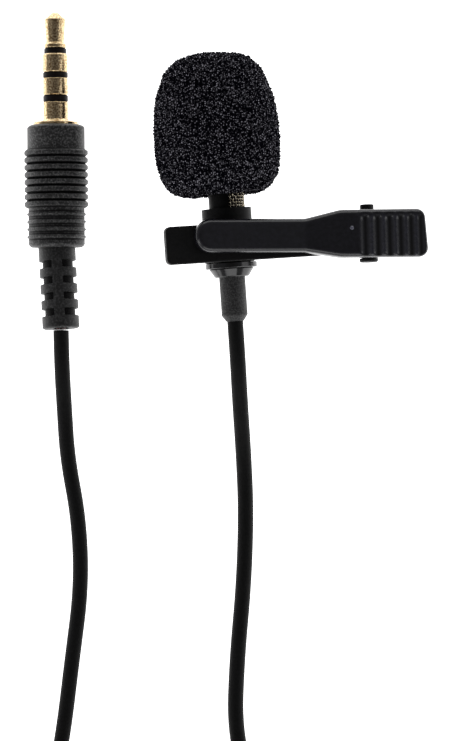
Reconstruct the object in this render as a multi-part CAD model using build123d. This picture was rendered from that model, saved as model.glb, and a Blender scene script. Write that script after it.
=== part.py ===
from build123d import *
import math
import os

# Lavalier microphone with a tie clip, lying on a flat surface at Z = 0.
# Millimetres, +Z up. +Y runs along the microphone's axis towards the windscreen,
# +X along the clip towards its handles. The origin is the bottom centre of the
# microphone and clip together.

# ---- where the microphone lies ----
MIC_X = -9.0
MIC_Y = -7.8
FOAM_R = 8.6
MIC_Z = FOAM_R

# ---- windscreen ----
FOAM_BOTTOM = 6.85
FOAM_TOP = 26.25
FOAM_OFFSET = -0.75
FOAM_BORE_R = 2.6
FOAM_BORE_DEPTH = 12.6

# ---- microphone barrel and head ----
BARREL_R = 2.5
BARREL_WALL = 0.3
BARREL_BOTTOM = -2.68
BARREL_TOP = 18.6
WINDOW_LOW = 4.0
WINDOW_HIGH = 17.2
WINDOW_HALF_ANGLE = 84.0
MESH_GAP = 0.02
TOP_MESH_THICK = 0.3
CAPSULE_R = 2.0
CAPSULE_LENGTH = 1.9
CAPSULE_WALL = 0.2
CAPSULE_TOP = 17.6
BOOT_LENGTH = 2.4
SOUND_HOLE_R = 0.5
WIRE_R = 0.3
WIRE_SPACING = 0.4

# ---- base of the microphone ----
STOP_R = 3.58
STOP_THICK = 0.79
CONE_R_TOP = 3.05
CONE_R_END = 2.42
CONE_END = -4.66
SPIGOT_TOP = -1.2
SLEEVE_R = 1.8
SLEEVE_ROOT_R = 1.5
SLEEVE_ROOT_TOP = -3.0
SLEEVE_END = -10.77
SLEEVE_CHAMFER = 0.85

# ---- clip ----
CLIP_TILT = 12.0
RING_R = 3.42
RING_SHIFT = -0.15
RING_CLEARANCE = 0.05
RING_TOP = 4.78
RING_BOTTOM = -2.6
RING_SLIT = 1.0
JAW_LEFT = -9.75
JAW_HALF_WIDTH = 2.6
JAW_LOW = 2.9
JAW_HIGH = 4.35
JAW_PLATE_END = 15.2
JAW_CORNER = 0.75
JAW_TEETH_START = -5.0
JAW_TEETH_SHIFT = 0.6
JAW_TEETH_WIDTH = 2.8
LEVER_TEETH_START = 1.2
TOOTH_PITCH = 0.75
TOOTH_COUNT = 4
HANDLE_HALF_WIDTH = 2.95
HANDLE_THICK = 1.35
HANDLE_START_X = 14.6
WAIST_HALF_WIDTH = 2.05
HANDLE_END_X = 26.0
HANDLE_END_W = -3.1
PIN_U = 18.3
PIN_V = -0.1
PIN_W = 5.3
PIN_SKEW = -2.3
PIN_ROLL = -2.0
PIN_R = 0.95
PIN_CLEARANCE = 0.05
PIN_TOP_REACH = 4.05
PIN_HEAD_R = 1.28
PIN_HEAD_THICK = 0.5
PIN_HEAD_AT = -3.38
LEVER_SKEW = -3.3
LEVER_ROLL = -4.0
LEVER_SHIFT = -0.2
LEVER_TIP = -24.3
LEVER_END = 7.29
LEVER_END_SLANT = 3.6
LEVER_CREASE = -8.9
LEVER_FLARE_END = -4.2
LEVER_RISE = 13.0
LEVER_TOP = 1.15
LEVER_THICK = 1.85
LEVER_SKIN = 1.0
LEVER_WALL = 0.8
LEVER_SOLID_TIP = -19.0
LEVER_HALF_NARROW = 2.3
GRIP_HALF_START = 3.28
GRIP_HALF_END = 3.32
GRIP_SKEW = -1.14
GRIP_SKEW_AT = 1.35
LEVER_TIP_CORNER = 2.2
LEVER_END_CORNER = 1.2
LEVER_EDGE = 0.72
LEVER_SOFT = 3.0
EAR_R = 1.75
JAW_EAR_INNER = 1.27
JAW_EAR_OUTER = 1.95
LEVER_EAR_INNER = 2.42
LEVER_EAR_OUTER = 2.98
GROOVE_FIRST = -1.05
GROOVE_PITCH = 1.72
GROOVE_CLOSING = 0.048
GROOVE_COUNT = 6
GROOVE_R = 1.0
GROOVE_DEPTH = 0.32
GROOVE_HALF_TOP = 1.95
GROOVE_HALF_LOW = 3.4
HANDLE_GROOVE_PITCH = 1.43
HANDLE_GROOVE_R = 0.75

# ---- torsion spring ----
SPRING_WIRE_R = 0.2
SPRING_R = 1.3
SPRING_PITCH = 0.46
SPRING_LEG = 5.0
SPRING_SHIFT = 0.12
SPRING_LEG_UP = 17.5
SPRING_LEG_DOWN = -33.5

# ---- plug, measured along its axis from the nose of the tip ----
PLUG_X = -32.98
PLUG_Y = -6.56
PLUG_LEAN = 3.53
SHAFT_R = 1.75
INSULATOR_R = 1.73
TIP_NOSE_R = 0.5
TIP_FULL_R = 1.47
TIP_FULL_AT = 0.97
TIP_WAIST_R = 1.27
TIP_WAIST_AT = 4.24
TIP_FLANGE_R = 1.55
TIP_END = 5.07
RING_1_START = 5.75
RING_1_END = 8.4
RING_2_START = 9.02
RING_2_END = 11.6
SLEEVE_START = 12.35
SHAFT_END = 15.2
DISC_R = 3.16
DISC_THICK = 0.45
ROD_R = 0.4
TIP_TUBE_R = 0.65
RING_1_TUBE_R = 0.9
RING_TUBE_R = 1.15
RING_2_TUBE_R = 1.32
SLEEVE_BORE_R = 1.5
TERMINAL_STEP = 1.3

# ---- plug grip and its segmented tail ----
GRIP_START = 15.65
GRIP_END = 32.64
COLLAR_R = 4.0
COLLAR_END = 19.0
RIB_R = 4.43
RIB_ROOT_R = 4.15
RIB_PITCH = 1.022
RIB_COUNT = 8
RIB_FLAT = 0.62
LOWER_R = 3.9
RIDGE_R = 4.06
RIDGE_FIRST = 28.05
RIDGE_PITCH = 1.05
RIDGE_COUNT = 4
RIDGE_WIDTH = 0.28
GRIP_CORNER = 0.45
MOULD_R = 2.7
MOULD_END = 29.5
TAIL_LEAN = 2.75
TAIL_LIFT = 4.0
TAIL_R = 2.57
TAIL_CORE_R = 2.12
TAIL_BORE_R = 1.15
TAIL_NECK = 1.95
TAIL_RING = 1.28
TAIL_GAP = 0.95
TAIL_GAPS = 4
TAIL_END_RING = 1.75
TAIL_WEB = 1.43
PLUG_WIRE_R = 0.28
PLUG_WIRE_SPACING = 0.55

# ---- cord ----
CORD_R = 1.1
COIL_X = -24.6
COIL_Y = -98.5
COIL_OUTER_TURN = 16.6
COIL_LAYER_TURNS = 4
COIL_LAYERS = 4
TIE_WIDTH = 3.2
TIE_THICK = 0.45
TIE_TAIL = 6.0

MIC = Pos(MIC_X, MIC_Y, MIC_Z)
CLIP = MIC * Rot(0, CLIP_TILT, 0)
PIN = CLIP * Pos(PIN_U, PIN_V, PIN_W) * Rot(0, 0, PIN_SKEW) * Rot(PIN_ROLL, 0, 0)
LEVER = CLIP * Pos(PIN_U, PIN_V, PIN_W) * Rot(0, 0, LEVER_SKEW) * Rot(LEVER_ROLL, 0, 0)
PLUG = Pos(PLUG_X, PLUG_Y, RIB_R) * Rot(0, 0, -PLUG_LEAN) * Pos(0, GRIP_END, 0)
TAIL = PLUG * Pos(0, -GRIP_END, 0) * Rot(0, 0, TAIL_LEAN) * Rot(-TAIL_LIFT, 0, 0)

# Route of the cord from the microphone to the coil.
MIC_ROUTE = [
    (-9.0, -18.57, 8.6),
    (-9.0, -23.5, 8.6),
    (-9.1, -30.0, 5.6),
    (-9.1, -37.0, 2.0),
    (-9.3, -45.0, 1.1),
    (-10.3, -55.0, 1.1),
    (-12.0, -65.5, 1.1),
    (-13.1, -76.0, 1.1),
    (-11.0, -86.0, 1.1),
    (-8.0, -93.0, 1.1),
    (-8.0, -98.5, 1.1),
]

# Route of the cord from the plug's tail to the coil.
PLUG_ROUTE = [
    (-33.16, -18.1, 5.24),
    (-33.4, -22.5, 4.9),
    (-33.6, -29.0, 2.2),
    (-33.7, -36.0, 1.1),
    (-32.7, -44.5, 1.1),
    (-33.0, -54.0, 1.1),
    (-35.0, -64.0, 1.1),
    (-36.9, -74.0, 1.3),
    (-38.8, -81.5, 3.4),
    (-41.2, -88.5, 6.8),
    (-41.2, -94.5, 7.7),
    (-41.2, -98.5, 7.7),
]


def turned(points):
    """A solid of revolution about +Y from (radius, y) corner points."""
    profile = make_face(Polyline(*points, close=True))
    return revolve(profile, Axis.Y)


def tube(outer, inner, low, high):
    return turned([(inner, low), (outer, low), (outer, high), (inner, high)])


def rod(radius, low, high):
    return turned([(0, low), (radius, low), (radius, high), (0, high)])


def along_y(radius, low, high):
    """A cylinder about +Y between two heights."""
    return Pos(0, (low + high) / 2, 0) * Rot(90, 0, 0) * Cylinder(radius, high - low)


# ---------------------------------------------------------------- microphone


def foam_windscreen():
    """Foam barrel: a flattish dome, nearly straight sides and a flat bottom."""
    length = FOAM_TOP - FOAM_BOTTOM
    dome = ThreePointArc((0, length), (3.6, length - 0.45), (6.3, length - 2.2))
    side = ThreePointArc((6.3, length - 2.2), (8.05, length - 6.5), (FOAM_R, length - 12.0))
    lower = ThreePointArc((FOAM_R, length - 12.0), (8.1, 3.2), (7.1, 1.2))
    corner = ThreePointArc((7.1, 1.2), (6.4, 0.4), (5.2, 0))
    base = Polyline((5.2, 0), (0, 0), (0, length))
    body = revolve(make_face(dome + side + lower + corner + base), Axis.Y)
    body = Pos(FOAM_OFFSET, FOAM_BOTTOM, 0) * body
    return MIC * (body - along_y(FOAM_BORE_R, FOAM_BOTTOM - 1, FOAM_BOTTOM + FOAM_BORE_DEPTH))


def window_sector(inner, outer, low, high, half_angle):
    """Part of a ring about +Y, centred on +X."""
    start = (inner * math.cos(math.radians(half_angle)), inner * math.sin(math.radians(half_angle)))
    end = (outer * math.cos(math.radians(half_angle)), outer * math.sin(math.radians(half_angle)))
    outline = ThreePointArc(start, (inner, 0), (start[0], -start[1]))
    outline += Line((start[0], -start[1]), (end[0], -end[1]))
    outline += ThreePointArc((end[0], -end[1]), (outer, 0), end)
    outline += Line(end, start)
    return Pos(0, high, 0) * Rot(90, 0, 0) * extrude(make_face(outline), high - low)


def mic_barrel():
    barrel = tube(BARREL_R, BARREL_R - BARREL_WALL, BARREL_BOTTOM, BARREL_TOP)
    window = window_sector(1.5, BARREL_R + 1, WINDOW_LOW, WINDOW_HIGH, WINDOW_HALF_ANGLE)
    return MIC * (barrel - window)


def side_mesh():
    gap_angle = math.degrees(MESH_GAP / BARREL_R)
    low = WINDOW_LOW + MESH_GAP
    high = WINDOW_HIGH - MESH_GAP
    half_angle = WINDOW_HALF_ANGLE - gap_angle
    return MIC * window_sector(BARREL_R - BARREL_WALL, BARREL_R, low, high, half_angle)


def top_mesh():
    return MIC * rod(BARREL_R - BARREL_WALL, BARREL_TOP - TOP_MESH_THICK, BARREL_TOP)


def capsule_boot():
    inner = BARREL_R - BARREL_WALL
    return MIC * tube(inner, CAPSULE_R, CAPSULE_TOP - BOOT_LENGTH, CAPSULE_TOP)


def capsule_can():
    """A cup, open below, with a sound hole in its face."""
    low = CAPSULE_TOP - CAPSULE_LENGTH
    roof = CAPSULE_TOP - CAPSULE_WALL
    inner = CAPSULE_R - CAPSULE_WALL
    return MIC * turned([
        (SOUND_HOLE_R, CAPSULE_TOP),
        (CAPSULE_R, CAPSULE_TOP),
        (CAPSULE_R, low),
        (inner, low),
        (inner, roof),
        (SOUND_HOLE_R, roof),
    ])


def capsule_stack():
    """The layers inside the can, from its face down."""
    inner = CAPSULE_R - CAPSULE_WALL
    roof = CAPSULE_TOP - CAPSULE_WALL
    film = turned([
        (0, roof - 0.3),
        (inner, roof - 0.3),
        (inner, roof),
        (inner - 0.35, roof),
        (inner - 0.35, roof - 0.2),
        (0, roof - 0.2),
    ])
    plate = rod(inner - 0.3, roof - 0.7, roof - 0.35)
    holder = turned([
        (inner - 0.6, roof - 1.3),
        (inner, roof - 1.3),
        (inner, roof - 0.3),
        (inner - 0.3, roof - 0.3),
        (inner - 0.3, roof - 0.7),
        (inner - 0.6, roof - 0.7),
    ])
    board = rod(inner, roof - 1.7, roof - 1.3)
    return {
        "diaphragm": MIC * film,
        "backplate": MIC * plate,
        "backplate_holder": MIC * holder,
        "capsule_board": MIC * board,
    }


def core_wire(side):
    """One of the two cores between the board and the end of the strain relief."""
    board_face = CAPSULE_TOP - CAPSULE_WALL - 1.7
    return MIC * Pos(side * WIRE_SPACING, 0, 0) * along_y(WIRE_R, SLEEVE_END, board_face)


def stop_ring():
    spigot_r = BARREL_R - BARREL_WALL
    low = BARREL_BOTTOM - STOP_THICK
    ring = turned([
        (spigot_r, low),
        (STOP_R - 0.1, low),
        (STOP_R, low + 0.1),
        (STOP_R, BARREL_BOTTOM - 0.1),
        (STOP_R - 0.1, BARREL_BOTTOM),
        (spigot_r, BARREL_BOTTOM),
    ])
    return MIC * ring


def base_cone():
    """Tapered cap with a spigot that goes up into the barrel."""
    spigot_r = BARREL_R - BARREL_WALL
    top = BARREL_BOTTOM - STOP_THICK
    return MIC * turned([
        (SLEEVE_R, CONE_END),
        (CONE_R_END - 0.12, CONE_END),
        (CONE_R_END, CONE_END + 0.12),
        (CONE_R_TOP, top - 0.12),
        (CONE_R_TOP - 0.12, top),
        (spigot_r, top),
        (spigot_r, SPIGOT_TOP),
        (SLEEVE_ROOT_R, SPIGOT_TOP),
        (SLEEVE_ROOT_R, CONE_END + 0.8),
        (SLEEVE_R, CONE_END + 0.8),
    ])


def mic_strain_relief():
    bore = WIRE_SPACING + WIRE_R + 0.1
    return MIC * turned([
        (bore, SLEEVE_END),
        (SLEEVE_R - 0.6, SLEEVE_END),
        (SLEEVE_R, SLEEVE_END + SLEEVE_CHAMFER),
        (SLEEVE_R, CONE_END + 0.8),
        (SLEEVE_ROOT_R, CONE_END + 0.8),
        (SLEEVE_ROOT_R, SLEEVE_ROOT_TOP),
        (bore, SLEEVE_ROOT_TOP),
    ])


# ---------------------------------------------------------------------- clip


def pin_hole():
    """The bore through the ears of both levers, with room for the pin's head."""
    bore = along_y(PIN_R + PIN_CLEARANCE, -6, 6)
    return PIN * (bore + along_y(PIN_HEAD_R + PIN_CLEARANCE, -6, PIN_HEAD_AT + PIN_CLEARANCE))


def jaw_plate():
    """Flat back jaw with rounded corners at its tip."""
    length = JAW_PLATE_END - JAW_LEFT
    plate = Box(length, 2 * JAW_HALF_WIDTH, JAW_HIGH - JAW_LOW)
    tip_edges = plate.edges().filter_by(Axis.Z).group_by(Axis.X)[0]
    plate = fillet(tip_edges, JAW_CORNER)
    plate = fillet(plate.faces().sort_by(Axis.Z)[-1].outer_wire().edges(), 0.22)
    return Pos(JAW_LEFT + length / 2, 0, (JAW_LOW + JAW_HIGH) / 2) * plate


def jaw_teeth():
    """Small ridges across the inner face, facing those of the lever."""
    teeth = []
    for step in range(TOOTH_COUNT):
        x = JAW_TEETH_START + TOOTH_PITCH * step
        teeth.append(Pos(x, JAW_TEETH_SHIFT, JAW_HIGH - 0.12) * Rot(90, 0, 0) * Cylinder(0.24, JAW_TEETH_WIDTH))
    return teeth


def handle_slope():
    """Angle by which the rear handle drops from the jaw's plane."""
    return math.atan2(JAW_LOW - HANDLE_END_W, HANDLE_END_X - HANDLE_START_X)


def jaw_handle():
    """Rear handle that slopes away from the lever, down to the table."""
    slope = handle_slope()
    rise = HANDLE_THICK / math.cos(slope)
    outline = Polyline(
        (HANDLE_START_X - 1.0, JAW_LOW),
        (HANDLE_START_X - 1.0, JAW_LOW + HANDLE_THICK),
        (HANDLE_START_X + 0.3, JAW_LOW + HANDLE_THICK),
        (HANDLE_END_X, HANDLE_END_W + rise),
        (HANDLE_END_X, HANDLE_END_W),
        (HANDLE_START_X, JAW_LOW),
        close=True,
    )
    slab = Rot(90, 0, 0) * extrude(make_face(outline), HANDLE_HALF_WIDTH, both=True)
    end_edges = slab.edges().filter_by(Axis.Z).group_by(Axis.X)[-1]
    return fillet(end_edges, 0.9)


def ear_room():
    """Cut-outs in both sides of the jaw, where the lever's ears swing."""
    length = 2 * EAR_R + 1.2
    room = []
    for side in (-1, 1):
        middle = side * (WAIST_HALF_WIDTH + 3)
        room.append(Pos(PIN_U, middle, PIN_W) * Box(length, 6, 2 * EAR_R + 8))
    return room


def handle_grooves():
    """Finger grooves under the rear handle."""
    slope = handle_slope()
    cutters = []
    for step in range(4):
        run = 5.4 + HANDLE_GROOVE_PITCH * step
        lift = HANDLE_GROOVE_R - GROOVE_DEPTH
        x = HANDLE_START_X + run * math.cos(slope) - lift * math.sin(slope)
        w = JAW_LOW - run * math.sin(slope) - lift * math.cos(slope)
        cutters.append(Pos(x, 0, w) * Rot(90, 0, 0) * Cylinder(HANDLE_GROOVE_R, 2 * GROOVE_HALF_TOP))
    return cutters


def jaw_ears():
    """Two inner ears that carry the pin."""
    ears = []
    radius = EAR_R - 0.15
    drop = 2 * radius * math.tan(handle_slope())
    foot_outline = Polyline(
        (PIN_U - radius, PIN_W),
        (PIN_U - radius, JAW_LOW + 0.3),
        (PIN_U + radius, JAW_LOW + 0.3 - drop),
        (PIN_U + radius, PIN_W),
        close=True,
    )
    for side in (-1, 1):
        middle = side * (JAW_EAR_INNER + JAW_EAR_OUTER) / 2
        thick = JAW_EAR_OUTER - JAW_EAR_INNER
        ears.append(Pos(PIN_U, middle, PIN_W) * Rot(90, 0, 0) * Cylinder(radius, thick))
        foot = Rot(90, 0, 0) * extrude(make_face(foot_outline), thick / 2, both=True)
        ears.append(Pos(0, middle, 0) * foot)
    return ears


def holder_ring():
    """Snap ring that holds the barrel, slit on the side away from the jaw."""
    ring = Pos(RING_SHIFT, 0, 0) * rod(RING_R, RING_BOTTOM, RING_TOP)
    ring -= along_y(BARREL_R + RING_CLEARANCE, RING_BOTTOM - 1, RING_TOP + 1)
    slit = Pos(0, (RING_TOP + RING_BOTTOM) / 2, -RING_R) * Box(RING_SLIT, RING_TOP - RING_BOTTOM + 2, 3)
    saddle = Pos(0, 0, JAW_LOW) * Box(4.6, 2 * JAW_HALF_WIDTH, 1.2)
    saddle -= along_y(BARREL_R + 0.4, RING_BOTTOM - 2, RING_TOP + 2)
    return ring + saddle - slit


def clip_jaw():
    jaw = holder_ring() + jaw_plate() + jaw_handle()
    for cutter in ear_room() + handle_grooves():
        jaw -= cutter
    for piece in jaw_teeth() + jaw_ears():
        jaw += piece
    jaw = CLIP * jaw
    return jaw - pin_hole()


def grip_middle(x):
    """Centre line of the thumb grip, a little askew to the jaw."""
    return (x - GRIP_SKEW_AT) * math.tan(math.radians(GRIP_SKEW))


def lever_outline():
    """Top view of the lever: narrow jaw, flare, wide grip with round corners."""
    start = grip_middle(LEVER_FLARE_END)
    end = grip_middle(LEVER_END)
    slant = GRIP_HALF_END * math.tan(math.radians(LEVER_END_SLANT))
    corners = [
        (LEVER_TIP, LEVER_HALF_NARROW, LEVER_TIP_CORNER),
        (LEVER_CREASE, LEVER_HALF_NARROW, LEVER_SOFT),
        (LEVER_FLARE_END, start + GRIP_HALF_START, LEVER_SOFT),
        (LEVER_END - slant, end + GRIP_HALF_END, LEVER_END_CORNER),
        (LEVER_END + slant, end - GRIP_HALF_END, LEVER_END_CORNER),
        (LEVER_FLARE_END, start - GRIP_HALF_START, LEVER_SOFT),
        (LEVER_CREASE, -LEVER_HALF_NARROW, LEVER_SOFT),
        (LEVER_TIP, -LEVER_HALF_NARROW, LEVER_TIP_CORNER),
    ]
    face = make_face(Polyline(*[(x, y) for x, y, _ in corners], close=True))
    for x, y, corner in corners:
        nearest = face.vertices().sort_by_distance((x, y, 0))[0]
        face = fillet([nearest], corner)
    return face


def lever_height(x):
    """Height of the lever's outer face over the pin."""
    rise = max(0.0, x - LEVER_CREASE)
    return LEVER_TOP + rise * math.tan(math.radians(LEVER_RISE))


def lever_side(stretch, drop):
    """Side view of the lever between its outer face, lowered, and its underside."""
    x_tip = LEVER_TIP - stretch
    x_end = LEVER_END + 0.5 + stretch
    low = LEVER_TOP - LEVER_THICK
    side = make_face(Polyline(
        (x_tip, low - stretch),
        (x_tip, LEVER_TOP - drop),
        (LEVER_CREASE, LEVER_TOP - drop),
        (x_end, lever_height(x_end) - drop),
        (x_end, lever_height(LEVER_END) - LEVER_THICK - stretch),
        (LEVER_CREASE + 1.5, low - stretch),
        close=True,
    ))
    crease = [
        vertex for vertex in side.vertices()
        if abs(vertex.X - LEVER_CREASE) < 0.01 and abs(vertex.Y - LEVER_TOP + drop) < 0.01
    ]
    return fillet(crease, LEVER_SOFT)


def lever_shell():
    """Outer form with rounded upper edges."""
    block = extrude(lever_outline(), 8, both=True)
    form = Rot(90, 0, 0) * extrude(lever_side(0, 0), 5, both=True)
    body = (block & form).solids()[0]
    upper = [face for face in body.faces() if face.normal_at().Z > 0.9]
    rim = []
    for face in upper:
        for edge in face.edges():
            across = abs(edge.center().Y) < 0.5 and LEVER_TIP + 1 < edge.center().X < LEVER_END - 1
            if not across:
                rim.append(edge)
    return fillet(rim, LEVER_EDGE)


def lever_pocket():
    """Hollow under the lever, leaving walls and the solid tip with its teeth."""
    narrow = LEVER_HALF_NARROW - LEVER_WALL
    grip_start = LEVER_FLARE_END - 0.6
    grip_end = LEVER_END - LEVER_WALL
    jaw = Pos((LEVER_SOLID_TIP + grip_start) / 2, 0, 0) * Box(grip_start - LEVER_SOLID_TIP + 0.2, 2 * narrow, 20)
    grip = Pos((grip_start + grip_end) / 2, 0, 0) * Box(grip_end - grip_start, 2 * LEVER_EAR_INNER, 20)
    below = Rot(90, 0, 0) * extrude(lever_side(3, LEVER_SKIN), 5, both=True)
    return (jaw + grip) & below


def lever_ears():
    """Outer ears that hang from the grip round the pin."""
    ears = []
    for side in (-1, 1):
        middle = side * (LEVER_EAR_INNER + LEVER_EAR_OUTER) / 2
        thick = LEVER_EAR_OUTER - LEVER_EAR_INNER
        boss = Pos(0, middle, 0) * Rot(90, 0, 0) * Cylinder(EAR_R, thick)
        web = Pos(0, middle, 1.1) * Box(2 * EAR_R, thick, 2.2)
        ears += [boss, web]
    return ears


def lever_teeth():
    teeth = []
    low = LEVER_TOP - LEVER_THICK
    for step in range(TOOTH_COUNT):
        x = LEVER_TIP + LEVER_TEETH_START + TOOTH_PITCH * step
        teeth.append(Pos(x, 0, low + 0.1) * Rot(90, 0, 0) * Cylinder(0.22, 2 * LEVER_HALF_NARROW - 1.4))
    return teeth


def grip_grooves():
    """Scooped grooves across the thumb grip, each a capsule sunk into the face."""
    angle = math.radians(LEVER_RISE)
    lift = GROOVE_R - GROOVE_DEPTH
    cutters = []
    for step in range(GROOVE_COUNT):
        x = GROOVE_FIRST + GROOVE_PITCH * step - GROOVE_CLOSING * step**2
        at = Pos(x - lift * math.sin(angle), grip_middle(x), lever_height(x) + lift * math.cos(angle))
        bar = along_y(GROOVE_R, -GROOVE_HALF_LOW, GROOVE_HALF_TOP)
        ends = Pos(0, GROOVE_HALF_TOP, 0) * Sphere(GROOVE_R) + Pos(0, -GROOVE_HALF_LOW, 0) * Sphere(GROOVE_R)
        cutters.append(at * (bar + ends))
    return cutters


def clip_lever():
    lever = lever_shell() - lever_pocket()
    for piece in lever_ears() + lever_teeth():
        lever += piece
    for cutter in grip_grooves():
        lever -= cutter
    lever = LEVER * Pos(0, LEVER_SHIFT, 0) * lever
    return lever - pin_hole()


def pivot_pin():
    """Headed pin; the head is at the -Y end."""
    outer = PIN_HEAD_AT - PIN_HEAD_THICK
    return PIN * turned([
        (0, outer),
        (PIN_HEAD_R - 0.15, outer),
        (PIN_HEAD_R, outer + 0.15),
        (PIN_HEAD_R, PIN_HEAD_AT),
        (PIN_R, PIN_HEAD_AT),
        (PIN_R, PIN_TOP_REACH - 0.1),
        (PIN_R - 0.1, PIN_TOP_REACH),
        (0, PIN_TOP_REACH),
    ])


def torsion_spring():
    """Wire coil round the pin with a straight leg under each handle."""
    start_angle = 90 + SPRING_LEG_UP
    turns = 3 + (270 + SPRING_LEG_DOWN - start_angle) / 360
    height = SPRING_PITCH * turns
    helix = Helix(SPRING_PITCH, height, SPRING_R)
    section = Plane(origin=helix @ 0, z_dir=helix % 0) * Circle(SPRING_WIRE_R)
    coil = sweep(section, path=helix, is_frenet=True)
    first = Plane(origin=helix @ 0, z_dir=-(helix % 0)) * Circle(SPRING_WIRE_R)
    last = Plane(origin=helix @ 1, z_dir=helix % 1) * Circle(SPRING_WIRE_R)
    wire = coil + extrude(first, SPRING_LEG) + extrude(last, SPRING_LEG)
    return PIN * Pos(0, SPRING_SHIFT, 0) * Rot(90, 0, 0) * Pos(0, 0, -height / 2) * Rot(0, 0, start_angle) * wire


# ---------------------------------------------------------------------- plug


def at_plug(shape):
    """Plug profiles run down from the nose at y = 0; the tip points along +Y."""
    return PLUG * shape


def contact(outer, inner, start, end, tube_r, tube_end):
    """A ring contact on its own inner tube, which runs back to its terminal."""
    return turned([
        (inner, -tube_end),
        (tube_r, -tube_end),
        (tube_r, -end),
        (outer - 0.08, -end),
        (outer, -end + 0.08),
        (outer, -start - 0.08),
        (outer - 0.08, -start),
        (inner, -start),
    ])


def plug_tip():
    end = SHAFT_END + 5 * TERMINAL_STEP
    return turned([
        (0, -end),
        (ROD_R, -end),
        (ROD_R, -TIP_END),
        (TIP_FLANGE_R, -TIP_END),
        (TIP_FLANGE_R, -TIP_WAIST_AT - 0.1),
        (TIP_WAIST_R, -TIP_WAIST_AT),
        (TIP_FULL_R, -TIP_FULL_AT),
        (TIP_NOSE_R, -0.08),
        (TIP_NOSE_R - 0.2, 0),
        (0, 0),
    ])


def insulator(face_r, start, end, bore, tube_r, tube_end):
    """An insulating ring on its own tube."""
    return turned([
        (bore, -tube_end),
        (tube_r, -tube_end),
        (tube_r, -end),
        (face_r, -end),
        (face_r, -start),
        (bore, -start),
    ])


def plug_sleeve():
    """Sleeve contact, its collar disc and the tube that clamps the cable."""
    back = SHAFT_END + DISC_THICK + 1.2
    return turned([
        (SLEEVE_BORE_R, -back),
        (SHAFT_R + 0.2, -back),
        (SHAFT_R + 0.2, -SHAFT_END - DISC_THICK),
        (DISC_R, -SHAFT_END - DISC_THICK),
        (DISC_R, -SHAFT_END - 0.1),
        (DISC_R - 0.1, -SHAFT_END),
        (SHAFT_R + 0.22, -SHAFT_END),
        (SHAFT_R, -SHAFT_END + 0.3),
        (SHAFT_R, -SLEEVE_START - 0.08),
        (SHAFT_R - 0.08, -SLEEVE_START),
        (SLEEVE_BORE_R, -SLEEVE_START),
    ])


def plug_contacts():
    """Coaxial contacts and insulators, each stepping back past the next."""
    steps = [SHAFT_END + TERMINAL_STEP * (count + 0.5) for count in range(5)]
    return {
        "plug_tip": plug_tip(),
        "tip_insulator": insulator(TIP_FLANGE_R, TIP_END, RING_1_START, ROD_R, TIP_TUBE_R, steps[4]),
        "plug_ring_1": contact(SHAFT_R, TIP_TUBE_R, RING_1_START, RING_1_END, RING_1_TUBE_R, steps[3]),
        "ring_insulator": insulator(INSULATOR_R, RING_1_END, RING_2_START, RING_1_TUBE_R, RING_TUBE_R, steps[2]),
        "plug_ring_2": contact(SHAFT_R, RING_TUBE_R, RING_2_START, RING_2_END, RING_2_TUBE_R, steps[1]),
        "sleeve_insulator": insulator(INSULATOR_R, RING_2_END, SLEEVE_START, RING_2_TUBE_R, SLEEVE_BORE_R, steps[1] - 0.6),
        "plug_sleeve": plug_sleeve(),
    }


def mould_and_grip(contacts):
    """Inner moulding round the terminals, and the ribbed grip over it."""
    start = -GRIP_START
    mould = rod(MOULD_R, -MOULD_END, start)
    points = [(0, start), (COLLAR_R - 0.45, start), (COLLAR_R - 0.12, start - 0.12)]
    points += [(COLLAR_R, start - 0.45), (COLLAR_R, -COLLAR_END)]
    for count in range(RIB_COUNT):
        top = COLLAR_END + RIB_PITCH * count
        flat = (RIB_PITCH - RIB_FLAT) / 2
        points += [
            (RIB_ROOT_R, -top),
            (RIB_ROOT_R, -top - 0.08),
            (RIB_R - 0.06, -top - flat),
            (RIB_R, -top - RIB_PITCH / 2),
            (RIB_R - 0.06, -top - RIB_PITCH + flat),
            (RIB_ROOT_R, -top - RIB_PITCH + 0.08),
        ]
    points += [(LOWER_R, -COLLAR_END - RIB_PITCH * RIB_COUNT)]
    for count in range(RIDGE_COUNT):
        middle = RIDGE_FIRST + RIDGE_PITCH * count
        points += [
            (LOWER_R, -middle + RIDGE_WIDTH),
            (RIDGE_R, -middle + RIDGE_WIDTH / 3),
            (RIDGE_R, -middle - RIDGE_WIDTH / 3),
            (LOWER_R, -middle - RIDGE_WIDTH),
        ]
    points += [(LOWER_R, -GRIP_END + GRIP_CORNER), (LOWER_R - GRIP_CORNER * 0.3, -GRIP_END + GRIP_CORNER * 0.3)]
    points += [(LOWER_R - GRIP_CORNER, -GRIP_END), (0, -GRIP_END)]
    grip = turned(points) - mould
    for shape in contacts.values():
        mould -= shape
        grip -= shape
    return mould, grip


def tail_gap(start):
    """A groove round the tail, bridged by webs in front and behind."""
    groove = tube(TAIL_R + 1, TAIL_CORE_R, -start - TAIL_GAP, -start)
    webs = Pos(0, -start - TAIL_GAP / 2, 0) * Box(TAIL_WEB, TAIL_GAP, 2 * TAIL_R + 2)
    return groove - webs


def tail_length():
    return TAIL_NECK + TAIL_GAPS * TAIL_GAP + (TAIL_GAPS - 1) * TAIL_RING + TAIL_END_RING


def plug_strain_relief():
    """Segmented tail: a neck, rings and an end ring on a thinner core."""
    length = tail_length()
    body = turned([
        (TAIL_BORE_R, -length),
        (TAIL_R - 0.25, -length),
        (TAIL_R, -length + 0.25),
        (TAIL_R, 0.5),
        (TAIL_BORE_R, 0.5),
    ])
    for count in range(TAIL_GAPS):
        body -= tail_gap(TAIL_NECK + count * (TAIL_GAP + TAIL_RING))
    in_grip = PLUG * Pos(0, -GRIP_END + 5, 0) * Box(20, 10, 20)
    return TAIL * body - in_grip


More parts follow.
